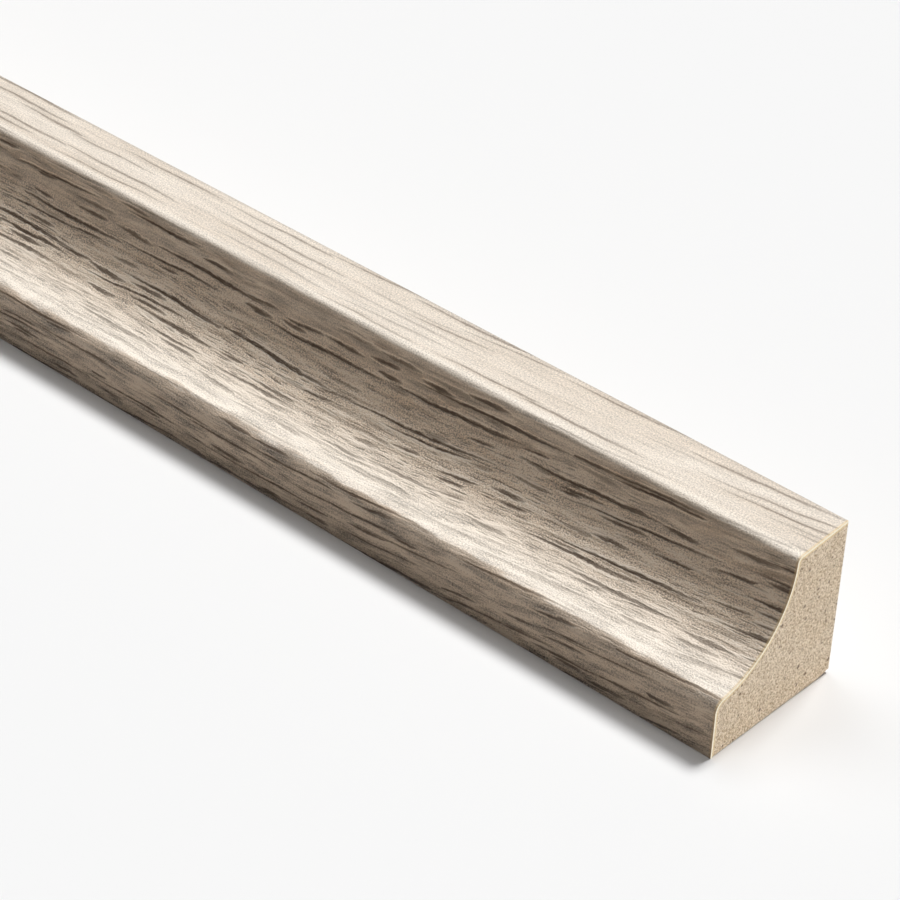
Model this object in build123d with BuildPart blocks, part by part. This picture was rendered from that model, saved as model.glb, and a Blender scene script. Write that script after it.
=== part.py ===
"""A length of scotia moulding, the strip that hides the gap at the edge of a laminate floor.

The strip lies along X. Its back stands against the wall on +Y, its base lies on the floor at Z = 0,
and the hollow face looks towards -Y and up. Lengths are in millimetres.
"""
from build123d import *
import os

# Overall sizes
length = 2400.0
depth = 18.0
height = 18.0

# The face of the section, from the wall round to the floor
top_width = 7.5
top_fall = 0.5
front_height = 6.4
cove_radius = 11.1
top_arris_radius = 0.7
front_arris_radius = 1.3

# Printed foil, wrapped round the face and trimmed flush with the back and the base
foil_thickness = 0.2

# The heel is eased, so that it clears the corner between floor and wall
heel_ease_depth = 1.5
heel_ease_height = 0.25

# The section plane looks along the strip: its x is the row's Y, and its y is the row's Z
section_plane = Plane.YZ.offset(-length / 2)
back = depth / 2
front = -depth / 2


def section(beyond=0.0):
    """The whole section, foil and all, with its back and base moved out by the distance beyond."""
    top_slope = top_fall / top_width
    back_top = (back + beyond, height + top_slope * beyond)
    top_arris = (back - top_width, height - top_fall)
    front_arris = (front, front_height)
    toe = (front, -beyond)
    heel = (back + beyond, -beyond)
    with BuildSketch() as outline:
        with BuildLine():
            Line(heel, back_top)
            Line(back_top, top_arris)
            RadiusArc(top_arris, front_arris, cove_radius)
            Polyline(front_arris, toe, heel)
        make_face()
        corners = outline.vertices()
        fillet(corners.sort_by_distance(top_arris)[0], radius=top_arris_radius)
        corners = outline.vertices()
        fillet(corners.sort_by_distance(front_arris)[0], radius=front_arris_radius)
    return outline.sketch


# Going in by the foil's thickness brings the moved back and base home, and leaves the board's own
# section under the foil
with BuildSketch() as board_section:
    add(section(beyond=foil_thickness))
    offset(amount=-foil_thickness, kind=Kind.INTERSECTION)

# The core, machined from board, with its heel eased
with BuildPart() as mdf_core:
    with BuildSketch(section_plane):
        add(board_section.sketch_local)
        with BuildLine():
            Polyline(
                (back, 0.0),
                (back, heel_ease_height),
                (back - heel_ease_depth, 0.0),
                close=True,
            )
        make_face(mode=Mode.SUBTRACT)
    extrude(amount=length)

mdf_core.part.label = "mdf_core"

# The foil is what the whole section has outside the board's
with BuildPart() as foil_wrap:
    with BuildSketch(section_plane):
        add(section())
        add(board_section.sketch_local, mode=Mode.SUBTRACT)
    extrude(amount=length)

foil_wrap.part.label = "foil_wrap"

os.makedirs("parts", exist_ok=True)
export_step(mdf_core.part, "parts/mdf_core.step")
export_step(foil_wrap.part, "parts/foil_wrap.step")
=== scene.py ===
"""A length of scotia moulding in oak-print foil, with its bare sawn end towards the camera.

The strip lies along X, its back faces +Y and its base lies at Z = 0. Lengths are in metres. The
foil's print and the board's grain are laid out in millimetres over the unrolled surface.
"""
import math
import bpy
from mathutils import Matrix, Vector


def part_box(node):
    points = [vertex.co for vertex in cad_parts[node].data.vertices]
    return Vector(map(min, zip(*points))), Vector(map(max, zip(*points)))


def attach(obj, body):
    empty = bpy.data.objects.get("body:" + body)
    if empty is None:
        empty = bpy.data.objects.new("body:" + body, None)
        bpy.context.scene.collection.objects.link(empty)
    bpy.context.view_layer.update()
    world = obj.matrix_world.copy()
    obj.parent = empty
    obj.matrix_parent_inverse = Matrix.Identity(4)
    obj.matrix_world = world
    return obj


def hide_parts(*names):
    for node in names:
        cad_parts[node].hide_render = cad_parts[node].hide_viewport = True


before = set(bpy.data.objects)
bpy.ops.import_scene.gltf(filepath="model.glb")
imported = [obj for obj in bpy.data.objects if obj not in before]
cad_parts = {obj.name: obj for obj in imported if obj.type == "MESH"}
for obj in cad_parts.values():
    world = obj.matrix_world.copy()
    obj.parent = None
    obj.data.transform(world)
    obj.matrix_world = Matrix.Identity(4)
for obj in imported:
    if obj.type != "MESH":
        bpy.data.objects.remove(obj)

from types import SimpleNamespace

import bpy
import numpy as np
from bpy.props import FloatProperty, FloatVectorProperty, IntProperty, PointerProperty
from mathutils import Matrix, Vector

bl_info = {
    "name": "Scotia moulding",
    "version": (1, 0, 0),
    "blender": (4, 5, 0),
    "location": "3D View > Sidebar > Scotia",
    "description": "Foil-wrapped scotia moulding with a sawn end, and its studio",
    "category": "Object",
}

MM = 0.001
PIXELS_ACROSS = 900
SENSOR_WIDTH = 36.0

# Points that draw the face's parts, from the back round to the toe
TOP_STEPS = 30
TOP_ARRIS_STEPS = 8
COVE_STEPS = 64
FRONT_ARRIS_STEPS = 12
FRONT_STEPS = 24

# Sides of the block that the strip is made from lie at a half, just beyond this
BLOCK_RIM = 0.4999
SHARP_ANGLE = math.radians(40)

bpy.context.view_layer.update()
FOIL_LOW, FOIL_HIGH = (Vector(corner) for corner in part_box("foil_wrap"))
CORE_LOW = Vector(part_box("mdf_core")[0])


def size(name, default, description):
    """A length that a user may change, in metres."""
    return FloatProperty(
        name=name,
        description=description,
        default=default,
        min=0.0,
        precision=5,
        unit="LENGTH",
        subtype="DISTANCE",
    )


def share(name, default, description, high=1.0):
    """A plain number between nothing and high."""
    return FloatProperty(name=name, description=description, default=default, min=0.0, max=high)


def colour(name, default, description):
    """A colour, in linear light."""
    return FloatVectorProperty(
        name=name,
        description=description,
        default=default,
        min=0.0,
        max=1.0,
        size=3,
        subtype="COLOR",
    )


def turn(name, degrees, description):
    """An angle, given here in degrees."""
    return FloatProperty(
        name=name, description=description, default=math.radians(degrees), subtype="ANGLE"
    )


class ScotiaSection(bpy.types.PropertyGroup):
    """Sizes of the moulding's section."""

    length: size("Length", FOIL_HIGH.x - FOIL_LOW.x, "Length of the strip")
    depth: size("Depth", FOIL_HIGH.y - FOIL_LOW.y, "From the back to the front")
    height: size("Height", FOIL_HIGH.z - FOIL_LOW.z, "From the base to the top")
    top_width: size("Top width", 7.5 * MM, "From the back to the sharp top arris")
    top_fall: size("Top fall", 0.5 * MM, "Fall of the top towards the room")
    front_height: size("Front height", 6.4 * MM, "From the base to the sharp front arris")
    cove_radius: size("Cove radius", 11.1 * MM, "Radius of the hollow face")
    top_arris: size("Top arris radius", 0.7 * MM, "Round on the arris above the cove")
    front_arris: size("Front arris radius", 1.3 * MM, "Round on the arris below the cove")
    foil: size("Foil thickness", CORE_LOW.y - FOIL_LOW.y, "Thickness of the printed foil")
    heel_depth: size("Heel ease depth", 1.5 * MM, "How far the eased heel reaches under the base")
    heel_height: size("Heel ease height", 0.25 * MM, "How far the eased heel reaches up the back")
    stations: IntProperty(
        name="Stations", description="Cross-sections along the strip", default=9, min=2
    )
    board_rows: IntProperty(
        name="Board rows", description="Rows of faces up the sawn end", default=72, min=2
    )
    saw_relief: size("Saw relief", 0.06 * MM, "Depth of the torn fibres on the sawn ends")
    end_ease: size("End ease", 0.15 * MM, "How far the base stops short of the sawn ends")


class ScotiaFoil(bpy.types.PropertyGroup):
    """Finish of the printed foil."""

    ground: colour("Ground", (0.80, 0.716, 0.618), "Light wood on the flats")
    # The hollow is painted lighter and warmer than the flats, as painted light in its shade
    hollow: colour("Hollow", (0.985, 0.81, 0.64), "Light wood in the hollow")
    # Shade also carries the painted shade in the upper hollow
    shade: colour("Shade", (0.60, 0.49, 0.38), "Drifts of darker wood")
    # Pale is the colour of the painted sheen and painted light beside the arrises
    pale: colour("Pale", (0.92, 0.833, 0.722), "Stretched foil beside the arrises")
    # Figure also colours the painted shade on the front arris
    figure: colour("Figure", (0.345, 0.245, 0.158), "Soft brown figure in the hollow")
    pore: colour("Pore", (0.078, 0.050, 0.031), "Printed pores")
    edge: colour("Cut edge", (0.99, 0.945, 0.785), "Paper of the foil where it is sawn")
    scorch: colour("Scorch", (0.80, 0.61, 0.34), "Print yellowed beside the saw cut")
    emboss: size("Emboss", 0.09 * MM, "Depth of the embossed pores")
    gloss: share("Roughness", 0.40, "Roughness of the lacquer")


class ScotiaBoard(bpy.types.PropertyGroup):
    """Finish of the fibreboard."""

    ground: colour("Ground", (0.735, 0.63, 0.49), "Fibres between pale and dark")
    light: colour("Light", (0.98, 0.87, 0.72), "Pale fibres")
    fibre: colour("Fibre", (0.32, 0.225, 0.13), "Dark gaps between the fibres")
    glue: colour("Glue", (0.95, 0.79, 0.50), "Board stained by glue just under the foil")
    warm: colour("Warm", (0.70, 0.545, 0.355), "Fibres near the base")
    bark: colour("Bark", (0.10, 0.055, 0.03), "Specks of bark")


class ScotiaStage(bpy.types.PropertyGroup):
    """Floor, lights and camera."""

    floor: colour("Floor", (0.85, 0.85, 0.85), "Floor, as the camera sees it")
    bounce: colour("Bounce", (0.46, 0.375, 0.300), "Floor, as the light sees it")
    key: share("Key", 2.72, "Strength of the key light, behind the strip", 20.0)
    key_azimuth: turn("Key azimuth", 88.0, "Where the key stands, from +X round to +Y")
    key_elevation: turn("Key elevation", 65.0, "Height of the key above the floor")
    key_softness: turn("Key softness", 18.0, "Width of the key as the strip sees it")
    back: share("Back", 0.76, "Strength of the light behind and to the left", 20.0)
    back_azimuth: turn("Back azimuth", 162.0, "Where the back light stands")
    back_elevation: turn("Back elevation", 60.0, "Height of the back light above the floor")
    back_softness: turn("Back softness", 34.0, "Width of the back light")
    side: share("Side", 1.93, "Strength of the light on the sawn end", 20.0)
    side_azimuth: turn("Side azimuth", 1.0, "Where the side light stands")
    side_elevation: turn("Side elevation", 9.0, "Height of the side light above the floor")
    side_softness: turn("Side softness", 14.0, "Width of the side light")
    fill: share("Fill", 0.01, "Strength of the light from all round", 5.0)
    azimuth: turn("Azimuth", 40.94, "Camera's place round the strip, from -Y round to +X")
    elevation: turn("Elevation", 34.85, "Camera's height over the strip")
    roll: turn("Roll", -2.74, "Camera's roll")
    focal_pixels: share("Focal length", 3162.0, "Focal length in pixels of the photograph", 9e4)
    heel: FloatVectorProperty(
        name="Heel",
        description="Where the near heel lies, to the right, down and ahead of the camera",
        default=(36.17 * MM, 21.30 * MM, 302.76 * MM),
        size=3,
        subtype="TRANSLATION",
    )


# Shape of the section


def round_points(centre, radius, start, end, count):
    """Points and outward directions of an arc about centre, short of its end."""
    angles = np.linspace(start, end, count, endpoint=False)
    spokes = np.column_stack((np.cos(angles), np.sin(angles)))
    return centre + radius * spokes, spokes


def angle_to(centre, point):
    """Angle of the line from centre to point."""
    return math.atan2(point[1] - centre[1], point[0] - centre[0])


def face_line(s):
    """The face of the section from the back round to the toe: points, outward normals, runs.

    Points are (y, z). The cove's circle lies outside the strip, and each arris's circle touches
    it and the flat beside it.
    """
    back, front = FOIL_HIGH.y, FOIL_HIGH.y - s.depth
    back_top = np.array((back, s.height))
    top_corner = np.array((back - s.top_width, s.height - s.top_fall))
    front_corner = np.array((front, s.front_height))
    toe = np.array((front, 0.0))

    chord = front_corner - top_corner
    half = np.linalg.norm(chord) / 2
    outward = np.array((chord[1], -chord[0])) / (2 * half)
    cove = (top_corner + front_corner) / 2 + outward * math.sqrt(s.cove_radius**2 - half**2)

    slope = math.atan2(s.top_fall, s.top_width)
    top_normal = np.array((-math.sin(slope), math.cos(slope)))
    along_top = np.array((-math.cos(slope), -math.sin(slope)))
    reach = s.cove_radius + s.top_arris
    level = back_top - top_normal * s.top_arris - cove
    lead = level @ along_top
    root = math.sqrt(lead**2 - level @ level + reach**2)
    step = -lead - root if -lead >= root else -lead + root
    top_round = cove + level + along_top * step
    reach = s.cove_radius + s.front_arris
    over = front + s.front_arris - cove[0]
    front_round = np.array((cove[0] + over, cove[1] - math.sqrt(reach**2 - over**2)))

    top_end = top_round + top_normal * s.top_arris
    flat_top = np.linspace(back_top, top_end, TOP_STEPS, endpoint=False)
    points = [flat_top]
    normals = [np.tile(top_normal, (len(flat_top), 1))]
    cove_start, cove_end = angle_to(cove, top_round), angle_to(cove, front_round)
    top_start, top_stop = slope + math.pi / 2, cove_start + math.pi
    rounds = (
        (top_round, s.top_arris, top_start, top_stop, TOP_ARRIS_STEPS, 1),
        (cove, s.cove_radius, cove_start, cove_end, COVE_STEPS, -1),
        (front_round, s.front_arris, cove_end + math.pi, math.pi, FRONT_ARRIS_STEPS, 1),
    )
    for centre, radius, start, end, count, side in rounds:
        short_way = (end - start + math.pi) % (2 * math.pi) - math.pi
        found, spokes = round_points(centre, radius, start, start + short_way, count)
        points.append(found)
        normals.append(side * spokes)
    flat_front = np.linspace((front, front_round[1]), toe, FRONT_STEPS)
    points.append(flat_front)
    normals.append(np.tile((-1.0, 0.0), (len(flat_front), 1)))

    points, normals = np.vstack(points), np.vstack(normals)
    runs = np.concatenate(([0.0], np.cumsum(np.linalg.norm(np.diff(points, axis=0), axis=1))))
    return points, normals, runs


def glue_line(s, points, normals):
    """The face of the board under the foil, with its ends on the back and the base."""
    under = points - normals * s.foil
    drop = s.foil / normals[0][1]
    under[0] = (points[0][0], points[0][1] - drop)
    return under


def base_line(s, board):
    """Points of the base straight under the board's face, rising at the eased heel."""
    back = board[0][0]
    rise = (board[:, 0] - (back - s.heel_depth)) / s.heel_depth * s.heel_height
    return np.column_stack((board[:, 0], np.maximum(rise, 0.0)))


def rails_mesh(name, near, far, runs):
    """Two rails of points in one mesh, the near rail first, each with its run round the face.

    Edges follow the near rail and step down to the far rail at its end, as the face does.
    """
    both = np.vstack((near, far))
    face = [(i, i + 1) for i in range(len(near) - 1)] + [(len(near) - 1, len(both) - 1)]
    mesh = bpy.data.meshes.new(name)
    mesh.from_pydata([(0.0, y, z) for y, z in both], face, [])
    run = mesh.attributes.new("run", "FLOAT", "POINT")
    run.data.foreach_set("value", np.tile(runs, 2))
    return mesh


# Node trees


def opaque(value):
    """A plain colour with its alpha. A socket stays as it is."""
    return value if isinstance(value, bpy.types.NodeSocket) else (*value, 1.0)


class Nodes:
    """Adds nodes to a tree and links them in one call each."""

    def __init__(self, tree):
        self.tree = tree

    def add(self, kind, *inputs, out=0, **settings):
        """A node of this kind, with its inputs in order. Gives one of its outputs."""
        node = self.tree.nodes.new(kind)
        named = settings.pop("named", {})
        for key, value in settings.items():
            setattr(node, key, value)
        for socket, value in zip(node.inputs, inputs):
            self.feed(socket, value)
        for key, value in named.items():
            self.feed(node.inputs[key], value)
        return node.outputs[out]

    def feed(self, socket, value):
        """Links a socket or sets its value."""
        if isinstance(value, bpy.types.NodeSocket):
            self.tree.links.new(value, socket)
        else:
            socket.default_value = value

    def math(self, operation, *inputs, clamp=False):
        """A Math node."""
        return self.add("ShaderNodeMath", *inputs, operation=operation, use_clamp=clamp)

    def vector(self, operation, *inputs):
        """A Vector Math node."""
        return self.add("ShaderNodeVectorMath", *inputs, operation=operation)

    def split(self, vector):
        """The three numbers of a vector."""
        node = self.tree.nodes.new("ShaderNodeSeparateXYZ")
        self.feed(node.inputs[0], vector)
        return node.outputs[0], node.outputs[1], node.outputs[2]

    def join(self, x, y, z):
        """A vector of three numbers."""
        return self.add("ShaderNodeCombineXYZ", x, y, z)

    def millimetres(self):
        """Place on the piece, in millimetres."""
        spot = self.add("ShaderNodeTexCoord", out=3)
        return self.vector("MULTIPLY", spot, (1 / MM, 1 / MM, 1 / MM))

    def noise(self, place, grain, seed, detail=2.0):
        """Noise about zero, with lumps of this size in each direction of the place."""
        flat = len(grain) == 2
        finer = (*(1.0 / lump for lump in grain), 0.0)[:3]
        shift = (seed * 5.3, seed * 7.9, seed * 3.1)
        scaled = self.vector("MULTIPLY_ADD", place, finer, shift)
        node = self.tree.nodes.new("ShaderNodeTexNoise")
        node.noise_dimensions = "2D" if flat else "3D"
        self.feed(node.inputs["Vector"], scaled)
        node.inputs["Scale"].default_value = 1.0
        node.inputs["Detail"].default_value = detail
        node.inputs["Roughness"].default_value = 0.55
        return self.math("SUBTRACT", node.outputs[0], 0.5)

    def ramp(self, value, start, end):
        """Nothing at the start, one at the end, and smooth between them."""
        low, high, at_low = (start, end, 0.0) if start < end else (end, start, 1.0)
        inputs = (value, low, high, at_low, 1.0 - at_low)
        return self.add("ShaderNodeMapRange", *inputs, interpolation_type="SMOOTHSTEP")

    def band(self, value, limits):
        """One inside a band and nothing outside it, with smooth flanks."""
        start, full, fading, end = limits
        return self.math("MULTIPLY", self.ramp(value, start, full), self.ramp(value, end, fading))

    def mix(self, amount, first, second):
        """A colour between two colours."""
        node = self.tree.nodes.new("ShaderNodeMix")
        node.data_type = "RGBA"
        self.feed(node.inputs[0], amount)
        self.feed(node.inputs[6], opaque(first))
        self.feed(node.inputs[7], opaque(second))
        return node.outputs[2]

    def scaled(self, vector, amount):
        """A vector or a colour, times this amount."""
        return self.add("ShaderNodeVectorMath", vector, operation="SCALE", named={"Scale": amount})

    def store(self, geometry, name, value, data_type, domain):
        """The geometry with this attribute on it."""
        return self.add(
            "GeometryNodeStoreNamedAttribute",
            data_type=data_type,
            domain=domain,
            named={"Geometry": geometry, "Name": name, "Value": value},
        )

    def bump(self, shader, height, depth):
        """Relief of this depth on the shader's normal."""
        node = self.tree.nodes.new("ShaderNodeBump")
        node.inputs["Strength"].default_value = 1.0
        node.inputs["Distance"].default_value = depth
        self.feed(node.inputs["Height"], height)
        self.feed(shader.inputs["Normal"], node.outputs[0])


def group_tree(name, kind, inputs, outputs):
    """A node group with these sockets. Returns the tree, its inputs by name and its output node."""
    tree = bpy.data.node_groups.new(name, kind)
    for label, value_kind, default in inputs:
        socket_type = "NodeSocket" + value_kind
        socket = tree.interface.new_socket(name=label, in_out="INPUT", socket_type=socket_type)
        if default is not None:
            socket.default_value = default
    for label, value_kind in outputs:
        socket_type = "NodeSocket" + value_kind
        tree.interface.new_socket(name=label, in_out="OUTPUT", socket_type=socket_type)
    entry = tree.nodes.new("NodeGroupInput")
    leave = tree.nodes.new("NodeGroupOutput")
    return Nodes(tree), {socket.name: socket for socket in entry.outputs if socket.name}, leave


def strip_tree():
    """A closed strip between two rails, swept along X, with torn sawn ends.

    It starts as a block of unit size about zero. Its first direction becomes the length, its second
    the way round the face, and its third the way from the far rail up to the near rail.
    """
    nodes, given, leave = group_tree(
        "Strip between rails",
        "GeometryNodeTree",
        [
            ("Rails", "Geometry", None),
            ("Length", "Float", 1.0),
            ("Stations", "Int", 2),
            ("Rail Points", "Int", 2),
            ("Rows", "Int", 2),
            ("End Relief", "Float", 0.0),
            ("End Ease", "Float", 0.0),
            ("Cut Sides", "Int", 0),
            ("Relief Grain", "Float", 4000.0),
            ("Seed", "Float", 1.0),
            ("Face Material", "Material", None),
            ("End Material", "Material", None),
        ],
        [("Strip", "Geometry")],
    )
    add, maths = nodes.add, nodes.math
    counts = given["Stations"], given["Rail Points"], given["Rows"]
    block = add("GeometryNodeMeshCube", (1.0, 1.0, 1.0), *counts)
    place = add("GeometryNodeInputPosition")
    along, across, up = nodes.split(place)
    length_at = maths("MULTIPLY", along, given["Length"])
    rise = maths("ADD", up, 0.5)
    section, run = between_rails(nodes, given, place, across, rise)
    target = nodes.vector("ADD", section, nodes.join(length_at, 0.0, 0.0))
    inward = sawn_back(nodes, given, target, along, across, up)
    target = nodes.vector("ADD", target, nodes.join(inward, 0.0, 0.0))

    # The unrolled place and the distance in from the face, in millimetres
    long_way = maths("MULTIPLY", length_at, 1 / MM)
    round_way = maths("MULTIPLY", run, 1 / MM)
    unrolled = nodes.join(long_way, round_way, rise)
    strip = nodes.store(block, "unrolled", unrolled, "FLOAT_VECTOR", "POINT")
    nearest = add(
        "GeometryNodeProximity",
        target_element="EDGES",
        named={"Geometry": given["Rails"], "Sample Position": section},
        out=1,
    )
    strip = nodes.store(strip, "inset", maths("MULTIPLY", nearest, 1 / MM), "FLOAT", "POINT")

    # Side is 1 on the sawn ends, 2 on trimmed edges along the strip, and otherwise 0
    middle = add("GeometryNodeFieldOnDomain", along, data_type="FLOAT", domain="FACE")
    ends = on_rim(nodes, middle)
    middle = add("GeometryNodeFieldOnDomain", across, data_type="FLOAT", domain="FACE")
    trimmed = maths("MULTIPLY", on_rim(nodes, middle), maths("MULTIPLY", given["Cut Sides"], 2.0))
    strip = nodes.store(strip, "side", maths("MAXIMUM", ends, trimmed), "INT", "FACE")

    strip = add("GeometryNodeSetPosition", named={"Geometry": strip, "Position": target})
    strip = add("GeometryNodeSetShadeSmooth", named={"Geometry": strip})
    sharp = maths("GREATER_THAN", add("GeometryNodeInputMeshEdgeAngle"), SHARP_ANGLE)
    strip = nodes.store(strip, "sharp_edge", sharp, "BOOLEAN", "EDGE")
    strip = add("GeometryNodeRealizeInstances", strip)
    face = given["Face Material"]
    strip = add("GeometryNodeSetMaterial", named={"Geometry": strip, "Material": face})
    on_end = add("GeometryNodeInputNamedAttribute", "side", data_type="INT")
    strip = add(
        "GeometryNodeSetMaterial",
        named={"Geometry": strip, "Selection": on_end, "Material": given["End Material"]},
    )
    nodes.feed(leave.inputs[0], strip)
    return nodes.tree


def on_rim(nodes, value):
    """One on the block's two sides across this direction."""
    return nodes.math("GREATER_THAN", nodes.math("ABSOLUTE", value), BLOCK_RIM)


def between_rails(nodes, given, place, across, rise):
    """The section's point between the two rails, and the run round the face there."""
    maths = nodes.math
    last = maths("SUBTRACT", given["Rail Points"], 1.0)
    near_index = maths("ROUND", maths("MULTIPLY", maths("SUBTRACT", 0.5, across), last))
    far_index = maths("ADD", near_index, given["Rail Points"])

    def on_rails(value, index, data_type):
        return nodes.add(
            "GeometryNodeSampleIndex",
            data_type=data_type,
            domain="POINT",
            named={"Geometry": given["Rails"], "Value": value, "Index": index},
        )

    near = on_rails(place, near_index, "FLOAT_VECTOR")
    far = on_rails(place, far_index, "FLOAT_VECTOR")
    run_name = nodes.add("GeometryNodeInputNamedAttribute", "run", data_type="FLOAT")
    run = on_rails(run_name, near_index, "FLOAT")
    step = nodes.vector("SUBTRACT", near, far)
    return nodes.vector("ADD", far, nodes.scaled(step, rise)), run


def sawn_back(nodes, given, target, along, across, up):
    """The shift along X that takes the sawn ends in. Their rims stay where they are.

    The base stops a little short of the ends, so that their lowest edge is eased.
    """
    maths = nodes.math
    noise = nodes.add(
        "ShaderNodeTexNoise",
        noise_dimensions="4D",
        named={
            "Vector": target,
            "W": given["Seed"],
            "Scale": given["Relief Grain"],
            "Detail": 3.0,
            "Roughness": 0.65,
        },
    )
    tear = maths("MULTIPLY", maths("SUBTRACT", noise, 0.25), 1.8, clamp=True)
    at_edge = maths("MAXIMUM", on_rim(nodes, across), on_rim(nodes, up))
    inside = maths("SUBTRACT", 1.0, at_edge)
    torn = maths("MULTIPLY", maths("MULTIPLY", tear, given["End Relief"]), inside)
    at_base = maths("LESS_THAN", up, -BLOCK_RIM)
    eased = maths("MULTIPLY_ADD", at_base, given["End Ease"], torn)
    towards = maths("MULTIPLY", maths("SIGN", along), on_rim(nodes, along))
    return maths("MULTIPLY", maths("MULTIPLY", towards, eased), -1.0)


def placed(name, data):
    """A new object in the scene."""
    thing = bpy.data.objects.new(name, data)
    bpy.context.scene.collection.objects.link(thing)
    return thing


def grown(name, s, rails, values):
    """The strip that the tree makes on these rails, as a plain mesh object."""
    tree = bpy.data.node_groups.get("Strip between rails") or strip_tree()
    source = placed(name + "_rails", rails)
    modifier = source.modifiers.new("Strip", "NODES")
    modifier.node_group = tree
    sockets = {
        item.name: item.identifier for item in tree.interface.items_tree if item.in_out == "INPUT"
    }
    rail_points = len(rails.vertices) // 2
    sizes = {"Length": s.length, "Stations": s.stations, "Rail Points": rail_points}
    for label, value in (sizes | values).items():
        modifier[sockets[label]] = value
    evaluated = source.evaluated_get(bpy.context.evaluated_depsgraph_get())
    mesh = bpy.data.meshes.new_from_object(evaluated)
    mesh.name = name
    bpy.data.objects.remove(source)
    bpy.data.meshes.remove(rails)
    return placed(name, mesh)


def inside_margins(share, margin):
    """A share of a strip of the picture, kept clear of both its edges by the margin."""
    return margin + (1.0 - 2.0 * margin) * share


def lay_out_picture(mesh, spans, shares, ends_share):
    """Unwraps the strip for baked pictures, with its length cut into rows of equal spans.

    Shares of a row go to the face, the underside, the back edge and the front edge. The two sawn
    ends take their share of the picture above the rows.
    """
    corners = np.empty(len(mesh.loops), int)
    mesh.loops.foreach_get("vertex_index", corners)
    places = np.empty(3 * len(mesh.vertices))
    mesh.attributes["unrolled"].data.foreach_get("vector", places)
    side = np.empty(len(mesh.polygons), int)
    mesh.attributes["side"].data.foreach_get("value", side)

    quads = places.reshape(-1, 3)[corners].reshape(-1, 4, 3)
    x, run, rise = (quads - places.reshape(-1, 3).min(axis=0)).transpose(2, 0, 1)
    run = run / run.max()
    along = x / x.max() * spans
    row = np.floor(along.mean(axis=1, keepdims=True))

    starts = np.concatenate(([0.0], np.cumsum(shares)))
    under, back = rise.max(axis=1) < 0.01, run.max(axis=1) < 1e-6
    front = (run.min(axis=1) > 1 - 1e-6) & ~under
    band = np.select([rise.min(axis=1) > 0.99, under, back, front], [0, 1, 2, 3], 0)[:, None]
    inside = np.where(band < 2, run, rise)
    height = (1.0 - ends_share) / spans
    inside = inside_margins(inside, margin=0.03)
    up = (row + starts[band] + np.take(shares, band) * inside) * height
    across = inside_margins(along - row, margin=0.004)

    sawn = (side == 1)[:, None]
    half = np.where(along > spans / 2, 0.5, 0.0)
    across = np.where(sawn, half + 0.5 * inside_margins(run, margin=0.02), across)
    up = np.where(sawn, 1.0 - ends_share * (1.0 - inside_margins(rise, margin=0.04)), up)
    layer = mesh.uv_layers.new(name="OFBake")
    layer.data.foreach_set("uv", np.stack((across, up), axis=2).ravel())


# Materials


# Bands of the foil, in millimetres round the face from the back: where each one begins, where it is
# full, where it starts to fade and where it ends
HOLLOW = (6.9, 8.4, 19.8, 23.4)
# Where the lighter, warmer painted light of the hollow sets in
DEEP_HOLLOW = (8.0, 14.5, 19.0, 22.5)
# Where the painted glints in the speckle are strongest
MIDDLE_HOLLOW = (9.5, 13.0, 16.0, 20.0)
# Painted sheen beside the top arris, and painted sheen and light on the lit foot of the hollow
HIGH_PAINTED_SHEEN = (6.0, 6.9, 7.4, 8.5)
LOW_PAINTED_SHEEN = (16.5, 20.5, 22.3, 23.4)

# Places round the face where something sets in, or fades where the first number is the larger
# From the raked band on, drifts and smears mostly fade, as painted light
RAKED = (9.5, 15.0)
FRONT = (23.0, 24.3)
# Painted shade on the front arris, where the lit hollow turns to the shaded front
ARRIS_SHADE_FROM = (23.0, 23.5)
ARRIS_SHADE_TO = (24.6, 24.0)
BACK_EDGE = (0.4, 0.05)

# Millimetres from a saw cut, from the foil and from the base at which a tint sets in and is full
SCORCHED = (0.32, 0.08)
GLUED = (0.40, 0.10)
YELLOWED = (4.5, 0.0)

# Layers of strokes: the cell that holds one, its length and width, the share of cells with one in
# them, how far it leans, and how soft its edge is
BOLD = dict(cell=(20.0, 1.45), length=22.0, width=0.43, share=0.84, turn=0.06, seed=1.0, soft=0.15)
SECOND = dict(cell=(6.4, 1.20), length=7.2, width=0.48, share=0.66, turn=0.11, seed=2.0, soft=0.15)
TICKS = dict(cell=(2.6, 0.40), length=3.2, width=0.17, share=0.80, turn=0.14, seed=3.0, soft=0.09)
LINES = dict(cell=(17.0, 1.60), length=22.0, width=0.32, share=1.0, turn=0.06, seed=4.0, soft=0.19)
CRUMBS = dict(cell=(0.55, 0.42), length=0.6, width=0.22, share=0.8, turn=2.8, seed=5.0, soft=0.07)
PITS = dict(cell=(0.50, 0.44), length=0.40, width=0.24, share=0.55, turn=6.2, seed=6.0, soft=0.08)
SPECKS = dict(cell=(1.8, 1.7), length=0.52, width=0.42, share=0.62, turn=6.2, seed=7.0, soft=0.09)

# The print is nowhere lighter than this, on the flats and in the hollow
LIGHTEST_FLAT = (0.98, 0.90, 0.79)
LIGHTEST_HOLLOW = (0.985, 0.862, 0.725)


def new_material(name):
    """A material with a bare Principled shader, and its nodes."""
    material = bpy.data.materials.new(name)
    material.use_nodes = True
    shader = material.node_tree.nodes["Principled BSDF"]
    return material, shader, Nodes(material.node_tree)


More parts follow.
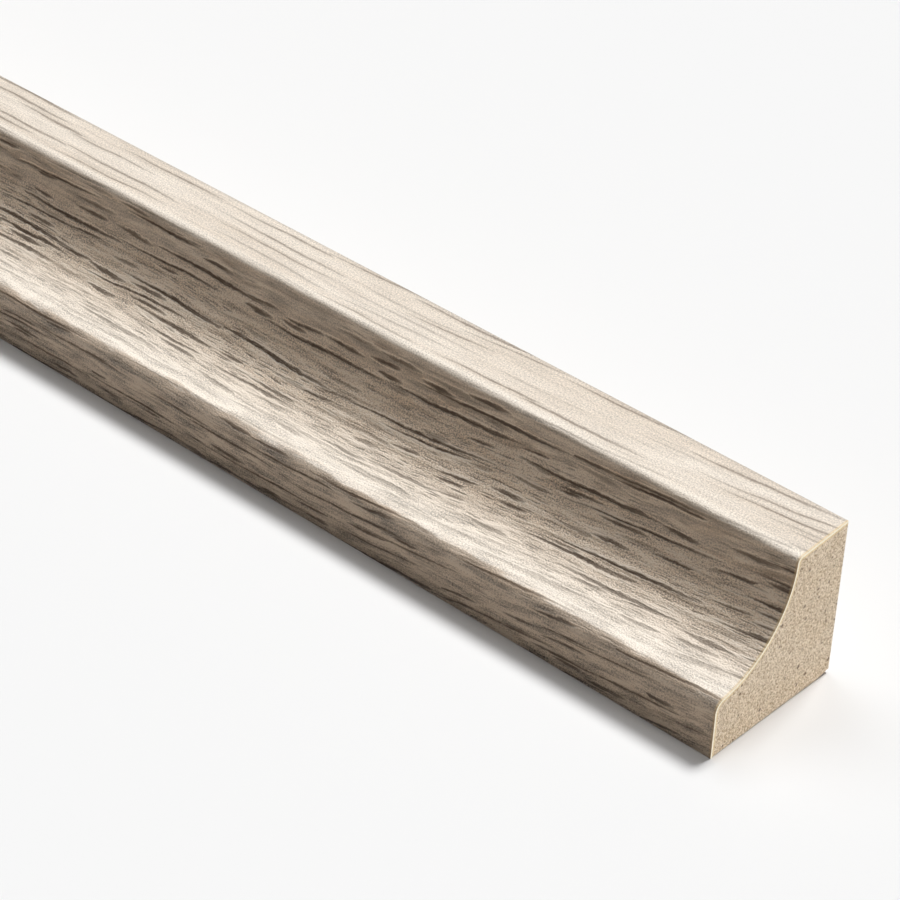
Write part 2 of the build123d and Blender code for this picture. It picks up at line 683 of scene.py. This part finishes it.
def stroke_tree():
    """Short tapered strokes scattered over a flat place in millimetres.

    Each cell of a stretched Voronoi pattern holds one stroke about its own centre.
    """
    tree = bpy.data.node_groups.get("Strokes")
    if tree:
        return tree
    nodes, given, leave = group_tree(
        "Strokes",
        "ShaderNodeTree",
        [
            ("Place", "Vector", None),
            ("Cell Length", "Float", 9.0),
            ("Cell Width", "Float", 1.4),
            ("Length", "Float", 8.0),
            ("Width", "Float", 0.4),
            ("Share", "Float", 0.6),
            ("Turn", "Float", 0.1),
            ("Softness", "Float", 0.1),
            ("Seed", "Float", 1.0),
        ],
        [("Stroke", "Float"), ("Rim", "Float"), ("Halo", "Float")],
    )
    maths = nodes.math
    x, y, _ = nodes.split(given["Place"])
    column = maths("MULTIPLY_ADD", given["Seed"], 7.31, maths("DIVIDE", x, given["Cell Length"]))
    row = maths("MULTIPLY_ADD", given["Seed"], 3.77, maths("DIVIDE", y, given["Cell Width"]))
    cells = nodes.tree.nodes.new("ShaderNodeTexVoronoi")
    cells.voronoi_dimensions = "2D"
    nodes.feed(cells.inputs["Vector"], nodes.join(column, row, 0.0))
    cells.inputs["Scale"].default_value = 1.0
    cells.inputs["Randomness"].default_value = 0.85
    chance, bulk, slant = nodes.split(cells.outputs["Color"])
    centre_column, centre_row, _ = nodes.split(cells.outputs["Position"])
    beside = maths("MULTIPLY", maths("SUBTRACT", column, centre_column), given["Cell Length"])
    above = maths("MULTIPLY", maths("SUBTRACT", row, centre_row), given["Cell Width"])

    # Along and across the stroke, which leans a little more or less than its neighbours
    angle = maths("MULTIPLY", maths("SUBTRACT", slant, 0.5), given["Turn"])
    cosine, sine = maths("COSINE", angle), maths("SINE", angle)
    along = maths("ADD", maths("MULTIPLY", beside, cosine), maths("MULTIPLY", above, sine))
    across = maths("SUBTRACT", maths("MULTIPLY", above, cosine), maths("MULTIPLY", beside, sine))

    # It tapers to nothing at both ends, is fuller towards one of them, and is a little ragged
    half_length = maths("MULTIPLY", given["Length"], maths("MULTIPLY_ADD", bulk, 0.28, 0.22))
    reach = maths("DIVIDE", along, half_length)
    taper = maths("SUBTRACT", 1.0, maths("MULTIPLY", reach, reach), clamp=True)
    fuller = maths("MULTIPLY_ADD", reach, 0.40, 0.95)
    fuller = maths("MULTIPLY", maths("POWER", taper, 0.6), fuller)
    ragged = maths("MULTIPLY_ADD", nodes.noise(given["Place"], (1.2, 0.3), seed=1.7), 1.6, 1.0)
    full = maths("MULTIPLY", given["Width"], maths("MULTIPLY_ADD", slant, 0.25, 0.25))
    half_width = maths("MULTIPLY", maths("MULTIPLY", full, ragged), fuller)
    off = maths("ABSOLUTE", across)
    body = maths("DIVIDE", maths("SUBTRACT", half_width, off), given["Softness"])
    body = maths("ADD", body, 0.5, clamp=True)
    present = maths("MULTIPLY", maths("SUBTRACT", given["Share"], chance), 3.5, clamp=True)
    strength = maths("MULTIPLY", present, maths("POWER", taper, 0.35))
    nodes.feed(leave.inputs["Stroke"], maths("MULTIPLY", body, strength))

    # A fine rim beside one edge, which the foil paints pale as a highlight
    upper = maths("MULTIPLY", across, maths("SIGN", maths("SUBTRACT", bulk, 0.35)))
    gap = maths("ADD", maths("ADD", upper, half_width), maths("MULTIPLY", given["Softness"], 0.9))
    gap = maths("DIVIDE", maths("ABSOLUTE", gap), maths("MULTIPLY", given["Softness"], 0.7))
    rim = maths("MULTIPLY", maths("SUBTRACT", 1.0, gap, clamp=True), ragged)
    nodes.feed(leave.inputs["Rim"], maths("MULTIPLY", rim, strength))

    # A broad faint stain round it
    spread = maths("DIVIDE", off, maths("MULTIPLY", given["Cell Width"], 0.42))
    stain = maths("POWER", maths("SUBTRACT", 1.0, spread, clamp=True), 1.3)
    nodes.feed(leave.inputs["Halo"], maths("MULTIPLY", stain, maths("MULTIPLY", present, taper)))
    return nodes.tree


def strokes(nodes, place, cell, length, width, share, turn, seed, soft):
    """A layer of strokes, with their rims and the stain round them."""
    node = nodes.tree.nodes.new("ShaderNodeGroup")
    node.node_tree = stroke_tree()
    values = {
        "Place": place,
        "Cell Length": cell[0],
        "Cell Width": cell[1],
        "Length": length,
        "Width": width,
        "Share": share,
        "Turn": turn,
        "Softness": soft,
        "Seed": seed,
    }
    for label, value in values.items():
        nodes.feed(node.inputs[label], value)
    return SimpleNamespace(
        stroke=node.outputs["Stroke"], rim=node.outputs["Rim"], halo=node.outputs["Halo"]
    )


def grain_place(nodes, unrolled, x, run):
    """The place that the print is drawn on. It wanders across the run, so that the grain flows."""
    maths = nodes.math
    swing = maths("SINE", maths("MULTIPLY_ADD", x, 2 * math.pi / 190.0, -2.2))
    flow = maths("MULTIPLY", nodes.noise(unrolled, (75.0, 40.0), detail=1.0, seed=2.3), 2.6)
    wave = maths("MULTIPLY", nodes.noise(unrolled, (8.0, 2.6), detail=1.0, seed=4.1), 0.50)
    shiver = maths("MULTIPLY", nodes.noise(unrolled, (0.5, 0.2), detail=2.0, seed=6.7), 0.13)
    wandered = maths("ADD", maths("ADD", run, flow), maths("ADD", wave, shiver))
    wandered = maths("MULTIPLY_ADD", swing, 1.3, wandered)
    wandered = maths("MULTIPLY_ADD", x, 0.06, wandered)
    return nodes.join(x, wandered, 0.0)


def foil_bands(nodes, run):
    """How far this run lies in each band of the foil.

    Paler, glossier bands beside the arrises are painted sheen, and the lower one is also painted
    light on the lit foot of the hollow. It is busy where the pores are bold.
    """
    maths = nodes.math
    hollow = nodes.band(run, HOLLOW)
    front = nodes.ramp(run, *FRONT)
    return SimpleNamespace(
        hollow=hollow,
        deep=nodes.band(run, DEEP_HOLLOW),
        middle=nodes.band(run, MIDDLE_HOLLOW),
        raked=nodes.ramp(run, *RAKED),
        front=front,
        painted_sheen=maths("MAXIMUM", nodes.band(run, HIGH_PAINTED_SHEEN), nodes.band(run, LOW_PAINTED_SHEEN)),
        busy=maths("MAXIMUM", hollow, maths("MULTIPLY", front, 0.6)),
    )


def printed_pores(nodes, place, bands, layers, cluster):
    """How far the printed pores and lines cover the wood."""
    maths = nodes.math
    second = layers.second.stroke
    big = maths("MAXIMUM", layers.bold.stroke, maths("MULTIPLY", second, 0.88))
    big = maths("MULTIPLY", big, maths("MULTIPLY_ADD", bands.hollow, 0.90, 0.10))
    big = maths("MULTIPLY_ADD", maths("MULTIPLY", second, bands.front), 0.80, big)
    small = maths("MULTIPLY", maths("MULTIPLY_ADD", cluster, 0.50, 0.10), bands.busy)
    small = maths("MULTIPLY", layers.ticks.stroke, maths("ADD", small, 0.06))
    faint = maths("MULTIPLY_ADD", bands.front, 0.36, 0.60)
    faint = maths("MULTIPLY_ADD", bands.hollow, -0.30, faint)
    long_lines = maths("MULTIPLY", layers.lines.stroke, faint)
    pores = maths("MAXIMUM", maths("MAXIMUM", big, small), long_lines)
    broken = nodes.ramp(nodes.noise(place, (1.1, 0.10), detail=2.0, seed=10.0), -0.30, 0.06)
    pores = maths("MULTIPLY", pores, maths("MULTIPLY_ADD", broken, 0.22, 0.78))
    # The pores are printed fainter under the painted sheen
    return maths("MULTIPLY", pores, maths("MULTIPLY_ADD", bands.painted_sheen, -0.38, 1.0))


def brown_stains(nodes, place, run, bands, layers, cluster):
    """Brown stains round the pores, smeared between them, and painted shade on the front arris."""
    maths = nodes.math
    smear = nodes.ramp(nodes.noise(place, (7.5, 1.1), detail=3.0, seed=17.0), -0.06, 0.20)
    smear = maths("MULTIPLY", smear, maths("MULTIPLY_ADD", cluster, 0.6, 0.4))
    stain = maths("MAXIMUM", layers.bold.halo, layers.second.halo)
    smear = maths("MAXIMUM", maths("MULTIPLY", smear, 0.72), maths("MULTIPLY", stain, 0.66))
    smear = maths("MULTIPLY", smear, maths("MULTIPLY_ADD", bands.hollow, 0.88, 0.12))
    # Smears fade from the raked band on, as painted light
    smear = maths("MULTIPLY", smear, maths("MULTIPLY_ADD", bands.raked, -0.56, 1.0))
    smear = maths("MAXIMUM", smear, maths("MULTIPLY", layers.lines.halo, 0.27))
    # A ragged darker band on the front arris is painted shade
    ragged = nodes.noise(place, (5.0, 0.8), detail=3.0, seed=21.0)
    arris_shade = nodes.ramp(maths("MULTIPLY_ADD", ragged, 2.4, run), *ARRIS_SHADE_FROM)
    arris_shade = maths("MULTIPLY", arris_shade, nodes.ramp(run, *ARRIS_SHADE_TO))
    return maths("MULTIPLY_ADD", arris_shade, 0.6, smear)


def grain_tone(nodes, place, run, bands, speckle, mottle):
    """How much the grain lightens the wood, about one. The print is darker at its back edge."""
    maths = nodes.math
    streak = nodes.noise(place, (5.0, 0.20), detail=3.0, seed=13.0)
    # Speckle is stronger on the front, and in the middle hollow as painted glints of grazing light
    grain_and_glint_gain = maths("MULTIPLY_ADD", bands.front, 0.5, bands.middle)
    tone = maths("MULTIPLY", speckle, maths("MULTIPLY_ADD", grain_and_glint_gain, 0.8, 1.0))
    tone = maths("MULTIPLY_ADD", streak, maths("MULTIPLY_ADD", bands.front, 0.60, 0.32), tone)
    blotchy = maths("MULTIPLY", bands.front, 1.8)
    blotchy = maths("MAXIMUM", maths("MULTIPLY", bands.raked, 0.8), blotchy)
    blotchy = maths("MULTIPLY_ADD", maths("MAXIMUM", blotchy, bands.hollow), 1.10, 0.16)
    tone = maths("MULTIPLY_ADD", mottle, blotchy, tone)
    tone = maths("MULTIPLY_ADD", nodes.ramp(run, *BACK_EDGE), -0.22, tone)
    return maths("ADD", tone, 1.0)


def foil_material(look):
    """Lacquered paper printed with greyed oak.

    The print is quiet on the two flats and has bold pores in the hollow between them.
    """
    material, shader, nodes = new_material("oak_print_foil")
    maths = nodes.math
    unrolled = nodes.add("ShaderNodeAttribute", attribute_name="unrolled", out=1)
    x, run, _ = nodes.split(unrolled)
    place = grain_place(nodes, unrolled, x, run)
    bands = foil_bands(nodes, run)
    layers = SimpleNamespace(
        bold=strokes(nodes, place, **BOLD),
        second=strokes(nodes, place, **SECOND),
        ticks=strokes(nodes, place, **TICKS),
        lines=strokes(nodes, place, **LINES),
    )
    cluster = nodes.ramp(nodes.noise(place, (24.0, 4.5), detail=1.0, seed=8.9), -0.20, 0.16)
    pores = printed_pores(nodes, place, bands, layers, cluster)

    # The wood between the pores, with its drifts and stains, and painted shade, light and sheen
    # Lighter, warmer wood in the hollow is painted light
    wood = nodes.mix(bands.deep, look.ground, look.hollow)
    cloud = nodes.ramp(nodes.noise(place, (26.0, 3.4), detail=2.0, seed=11.0), -0.20, 0.26)
    # Random drifts of darker wood, deeper in the shaded upper hollow as painted shade
    drifts_and_painted_shade = maths("MULTIPLY_ADD", bands.front, 0.06, 0.42)
    drifts_and_painted_shade = maths("MULTIPLY_ADD", bands.hollow, 0.16, drifts_and_painted_shade)
    # From the raked band on the drifts mostly fade, as painted light
    drifts_and_painted_shade = maths("MULTIPLY", cloud, maths("MULTIPLY_ADD", bands.raked, -0.47, drifts_and_painted_shade))
    wood = nodes.mix(drifts_and_painted_shade, wood, look.shade)
    wood = nodes.mix(brown_stains(nodes, place, run, bands, layers, cluster), wood, look.figure)
    # Paler wood beside the arrises: painted sheen and painted light
    wood = nodes.mix(maths("MULTIPLY", bands.painted_sheen, 0.62), wood, look.pale)

    # Its fine grain, and pale flecks beside the bold pores, painted highlights on their edges
    speckle = nodes.noise(unrolled, (0.20, 0.15), detail=1.0, seed=15.0)
    mottle = nodes.noise(place, (5.0, 0.80), detail=3.0, seed=19.0)
    wood = nodes.scaled(wood, grain_tone(nodes, place, run, bands, speckle, mottle))
    # Painted highlights where the pores' embossed edges catch the light
    flecks = maths("MAXIMUM", layers.bold.rim, layers.second.rim)
    flecks = maths("MULTIPLY", flecks, bands.hollow)
    wood = nodes.scaled(wood, maths("MULTIPLY_ADD", flecks, 0.9, 1.0))
    wood = nodes.vector("MINIMUM", wood, nodes.mix(bands.deep, LIGHTEST_FLAT, LIGHTEST_HOLLOW))
    printed = nodes.mix(pores, wood, look.pore)

    # The saw yellows the print beside its cuts
    strip_end = FOIL_HIGH.x / MM
    sawn = nodes.ramp(maths("ABSOLUTE", x), *(strip_end - reach for reach in SCORCHED))
    printed = nodes.mix(maths("MULTIPLY", sawn, 0.65), printed, look.scorch)
    nodes.feed(shader.inputs["Base Color"], printed)

    # The lacquer, and the embossed pores and grain
    rough = maths("ADD", maths("MULTIPLY", pores, 0.40), maths("MULTIPLY", speckle, 0.3))
    # The lacquer is a little glossier under the painted sheen
    rough = maths("MULTIPLY_ADD", bands.painted_sheen, -0.06, rough)
    nodes.feed(shader.inputs["Roughness"], maths("ADD", rough, look.gloss))
    shader.inputs["Specular IOR Level"].default_value = 0.45
    height = maths("MULTIPLY", maths("MULTIPLY", mottle, bands.busy), 2.2)
    height = maths("MULTIPLY_ADD", speckle, 0.55, height)
    nodes.bump(shader, maths("SUBTRACT", height, pores), look.emboss)
    return material


def edge_material(look):
    """Layers of paper and glue at the foil's own cut edge."""
    material, shader, nodes = new_material("foil_cut_edge")
    place = nodes.millimetres()
    flecks = nodes.noise(place, (0.22, 0.22, 0.22), detail=2.0, seed=1.0)
    shade = nodes.math("MULTIPLY_ADD", flecks, 0.5, 1.0)
    nodes.feed(shader.inputs["Base Color"], nodes.scaled(look.edge, shade))
    shader.inputs["Roughness"].default_value = 0.75
    nodes.bump(shader, flecks, 0.03 * MM)
    return material


def board_material(look, name, sawn):
    """Bare fibreboard. Sawn, it shows torn fibres. Machined, it is tight and smooth."""
    material, shader, nodes = new_material(name)
    maths = nodes.math
    place = nodes.millimetres()
    px, py, pz = nodes.split(place)
    flat = nodes.join(py, pz, 0.0) if sawn else nodes.join(maths("ADD", py, pz), px, 0.0)
    depth = 1.0 if sawn else 0.3
    relief = 0.07 * MM if sawn else 0.01 * MM

    # Glue stains the board under the foil, and it is a little yellower in drifts and near the base
    inset = nodes.add("ShaderNodeAttribute", attribute_name="inset", out=2)
    drift = nodes.ramp(nodes.noise(place, (5.0, 5.0, 3.0), detail=1.0, seed=3.0), -0.10, 0.22)
    low = nodes.ramp(pz, *YELLOWED)
    stained = maths("ADD", maths("MULTIPLY", drift, 0.22), maths("MULTIPLY", low, 0.32))
    body = nodes.mix(stained, look.ground, look.warm)

    # Pale and dark fibres
    dust = nodes.noise(place, (0.21, 0.21, 0.18), detail=1.0, seed=7.0)
    lumps = nodes.noise(place, (0.8, 0.8, 0.5), detail=2.0, seed=5.0)
    crumbs = strokes(nodes, flat, **CRUMBS)
    pits = strokes(nodes, flat, **PITS)
    specks = strokes(nodes, flat, **SPECKS)
    tone = maths("MULTIPLY_ADD", lumps, 0.35, maths("MULTIPLY", dust, 3.9))
    paler = maths("MULTIPLY_ADD", crumbs.stroke, 0.30, maths("MAXIMUM", tone, 0.0))
    body = nodes.mix(maths("MULTIPLY", paler, depth, clamp=True), body, look.light)
    darker = maths("MAXIMUM", maths("MULTIPLY", tone, -1.0), maths("MULTIPLY", pits.stroke, 0.60))
    darker = maths("MAXIMUM", darker, maths("MULTIPLY", crumbs.rim, 0.25))
    darker = maths("MULTIPLY", darker, depth, clamp=True)
    body = nodes.mix(darker, body, look.fibre)
    body = nodes.mix(maths("MULTIPLY", specks.stroke, 0.80), body, look.bark)
    glue = nodes.ramp(inset, *GLUED)
    body = nodes.mix(maths("MULTIPLY", glue, 0.75 * depth), body, look.glue)
    nodes.feed(shader.inputs["Base Color"], body)
    shader.inputs["Roughness"].default_value = 0.92 if sawn else 0.6
    nodes.bump(shader, maths("SUBTRACT", paler, darker), relief)
    return material


# Operators


class ScotiaFoilOperator(bpy.types.Operator):
    """Make the printed foil"""

    bl_idname = "object.scotia_foil"
    bl_label = "Printed foil"

    def execute(self, context):
        s = context.scene.scotia_section
        look = context.scene.scotia_foil
        points, normals, runs = face_line(s)
        rails = rails_mesh("foil_rails", points, glue_line(s, points, normals), runs)
        values = {
            "Rows": 2,
            "Cut Sides": 1,
            "Face Material": foil_material(look),
            "End Material": edge_material(look),
        }
        piece = grown("printed_foil", s, rails, values)
        shares = (0.80, 0.14, 0.03, 0.03)
        lay_out_picture(piece.data, spans=s.stations - 1, shares=shares, ends_share=0.04)
        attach(piece, "root")
        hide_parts("foil_wrap")
        return {"FINISHED"}


class ScotiaBoardOperator(bpy.types.Operator):
    """Make the fibreboard core"""

    bl_idname = "object.scotia_board"
    bl_label = "Fibreboard core"

    def execute(self, context):
        s = context.scene.scotia_section
        look = context.scene.scotia_board
        points, normals, runs = face_line(s)
        board = glue_line(s, points, normals)

        # The rails end where the flat front begins, and the block's own side makes the front
        upper = board[: len(board) - (FRONT_STEPS - 1)]
        rails = rails_mesh("board_rails", upper, base_line(s, upper), runs[: len(upper)])
        values = {
            "Rows": s.board_rows,
            "End Relief": s.saw_relief,
            "End Ease": s.end_ease,
            "Face Material": board_material(look, "machined_fibreboard", sawn=False),
            "End Material": board_material(look, "sawn_fibreboard", sawn=True),
        }
        piece = grown("board_core", s, rails, values)
        shares = (0.28, 0.30, 0.30, 0.12)
        lay_out_picture(piece.data, spans=s.stations - 1, shares=shares, ends_share=0.35)
        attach(piece, "root")
        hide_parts("mdf_core")
        return {"FINISHED"}


def sun(name, strength, azimuth, elevation, softness):
    """A far soft lamp that stands at this azimuth, from +X round to +Y, and elevation."""
    lamp = bpy.data.lights.new(name, "SUN")
    lamp.energy = strength
    lamp.angle = softness
    holder = placed(name, lamp)
    towards = Vector(
        (
            math.cos(azimuth) * math.cos(elevation),
            math.sin(azimuth) * math.cos(elevation),
            math.sin(elevation),
        )
    )
    holder.rotation_euler = towards.to_track_quat("Z", "Y").to_euler()


def seen_by_eye(nodes):
    """One for what the camera sees, straight, mirrored or through glass, and otherwise nothing."""
    path = nodes.tree.nodes.new("ShaderNodeLightPath")
    seen = nodes.math("MAXIMUM", path.outputs["Is Camera Ray"], path.outputs["Is Glossy Ray"])
    return nodes.math("MAXIMUM", seen, path.outputs["Is Transmission Ray"])


class ScotiaStageOperator(bpy.types.Operator):
    """Set up the floor, the lights and the camera"""

    bl_idname = "scene.scotia_stage"
    bl_label = "Floor, lights and camera"

    def execute(self, context):
        scene, look = context.scene, context.scene.scotia_stage
        self.floor(look)
        sun("key", look.key, look.key_azimuth, look.key_elevation, look.key_softness)
        sun("back", look.back, look.back_azimuth, look.back_elevation, look.back_softness)
        sun("side", look.side, look.side_azimuth, look.side_elevation, look.side_softness)
        self.world(scene, look)
        self.camera(scene, look)
        scene.view_settings.view_transform = "Standard"
        return {"FINISHED"}

    def floor(self, look):
        """A plain floor, pale to the camera and darker as a source of bounced light."""
        half = 8.0
        mesh = bpy.data.meshes.new("floor")
        mesh.from_pydata(
            [(-half, -half, 0.0), (half, -half, 0.0), (half, half, 0.0), (-half, half, 0.0)],
            [],
            [(0, 1, 2, 3)],
        )
        floor = placed("floor", mesh)
        material, shader, nodes = new_material("floor_paper")
        seen = nodes.mix(seen_by_eye(nodes), look.bounce, look.floor)
        nodes.feed(shader.inputs["Base Color"], seen)
        shader.inputs["Roughness"].default_value = 1.0
        shader.inputs["Specular IOR Level"].default_value = 0.0
        mesh.materials.append(material)

    def world(self, scene, look):
        """White to the camera, and a soft fill from all round."""
        world = bpy.data.worlds.new("studio")
        world.use_nodes = True
        nodes = Nodes(world.node_tree)
        background = world.node_tree.nodes["Background"]
        background.inputs["Color"].default_value = (1.0, 1.0, 1.0, 1.0)
        seen = seen_by_eye(nodes)
        strength = nodes.math("ADD", nodes.math("MULTIPLY", seen, 1.0 - look.fill), look.fill)
        nodes.feed(background.inputs["Strength"], strength)
        scene.world = world

    def camera(self, scene, look):
        """The photograph's camera, placed by where the strip's near heel lies in its view."""
        ahead = Vector(
            (
                -math.sin(look.azimuth) * math.cos(look.elevation),
                math.cos(look.azimuth) * math.cos(look.elevation),
                -math.sin(look.elevation),
            )
        )
        level_right = ahead.cross(Vector((0, 0, 1))).normalized()
        level_down = ahead.cross(level_right)
        right = level_right * math.cos(look.roll) + level_down * math.sin(look.roll)
        down = level_down * math.cos(look.roll) - level_right * math.sin(look.roll)
        near_heel = Vector((FOIL_HIGH.x, FOIL_HIGH.y, FOIL_LOW.z))
        eye = near_heel - right * look.heel[0] - down * look.heel[1] - ahead * look.heel[2]
        lens = bpy.data.cameras.new("camera")
        lens.sensor_width = SENSOR_WIDTH
        lens.lens = look.focal_pixels * SENSOR_WIDTH / PIXELS_ACROSS
        lens.clip_start = 0.01
        camera = placed("camera", lens)
        turned = Matrix((right, -down, -ahead)).transposed()
        camera.matrix_world = Matrix.Translation(eye) @ turned.to_4x4()
        scene.camera = camera


class ScotiaPanel(bpy.types.Panel):
    """Sizes, finishes and operators of the moulding."""

    bl_idname = "VIEW3D_PT_scotia"
    bl_label = "Scotia moulding"
    bl_space_type = "VIEW_3D"
    bl_region_type = "UI"
    bl_category = "Scotia"

    def draw(self, context):
        for group_name in GROUPS:
            box = self.layout.box()
            group = getattr(context.scene, group_name)
            for name in group.__annotations__:
                box.prop(group, name)
        for operator in OPERATORS:
            self.layout.operator(operator.bl_idname)


GROUPS = {
    "scotia_section": ScotiaSection,
    "scotia_foil": ScotiaFoil,
    "scotia_board": ScotiaBoard,
    "scotia_stage": ScotiaStage,
}
OPERATORS = (ScotiaStageOperator, ScotiaBoardOperator, ScotiaFoilOperator)


def register():
    for kind in (*GROUPS.values(), *OPERATORS, ScotiaPanel):
        bpy.utils.register_class(kind)
    for name, kind in GROUPS.items():
        setattr(bpy.types.Scene, name, PointerProperty(type=kind))


def unregister():
    for name in GROUPS:
        delattr(bpy.types.Scene, name)
    for kind in (ScotiaPanel, *reversed(OPERATORS), *reversed(list(GROUPS.values()))):
        bpy.utils.unregister_class(kind)


def main():
    register()
    bpy.ops.scene.scotia_stage()
    bpy.ops.object.scotia_board()
    bpy.ops.object.scotia_foil()


if __name__ == "__main__":
    main()
